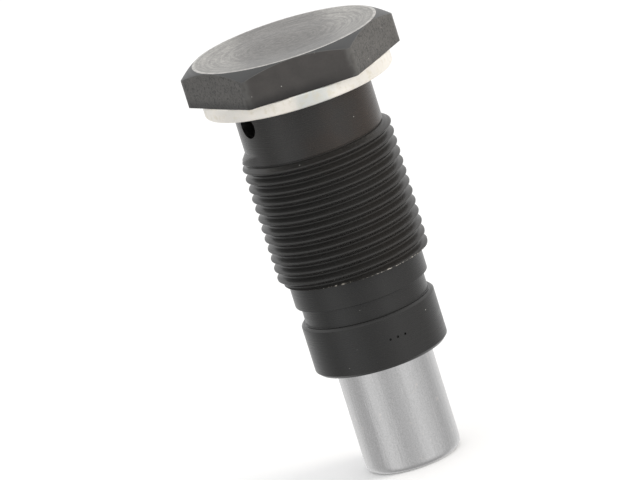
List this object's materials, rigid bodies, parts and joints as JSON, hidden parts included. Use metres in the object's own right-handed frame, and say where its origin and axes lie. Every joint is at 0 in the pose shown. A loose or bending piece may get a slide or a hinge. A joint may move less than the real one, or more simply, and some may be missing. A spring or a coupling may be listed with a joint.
{
  "type": "timing chain tensioner",
  "caption": "Screw-in hydraulic chain tensioner: black hex-head threaded housing with an aluminium sealing washer and a sprung steel plunger that slides out of its end.",
  "frame": {"origin": "on the axis in the sealing plane, at the underside of the washer", "axes": "+Z along the axis, out of the hex head; -Z along the way the plunger slides out; a flat of the hexagon faces -Y"},
  "size_m": [0.031, 0.0274, 0.0635],
  "materials": {
    "black_steel": "satin",
    "washer_aluminium": "matte",
    "ground_steel": "satin",
    "spring_steel": "satin",
    "ball_steel": "polished"
  },
  "bodies": {
    "housing": {"housing": "black_steel", "sealing_washer": "washer_aluminium", "retaining_ring": "spring_steel", "valve_seat": "ground_steel", "valve_cage": "spring_steel", "main_spring": "spring_steel", "valve_spring": "spring_steel"},
    "plunger": {"plunger": "ground_steel"},
    "check_ball": {"check_ball": "ball_steel"}
  },
  "joints": [
    {"name": "plunger_slide", "type": "slide", "parent": "housing", "child": "plunger", "axis": [0, 0, 1], "range_m": [0, 0.012], "stiffness_N_per_m": 2800, "springref_m": -0.021, "deforming": ["main_spring"]},
    {"name": "check_ball_lift", "type": "slide", "parent": "housing", "child": "check_ball", "axis": [0, 0, -1], "range_m": [0, 0.0006], "stiffness_N_per_m": 20, "springref_m": -0.003, "deforming": ["valve_spring"]}
  ]
}
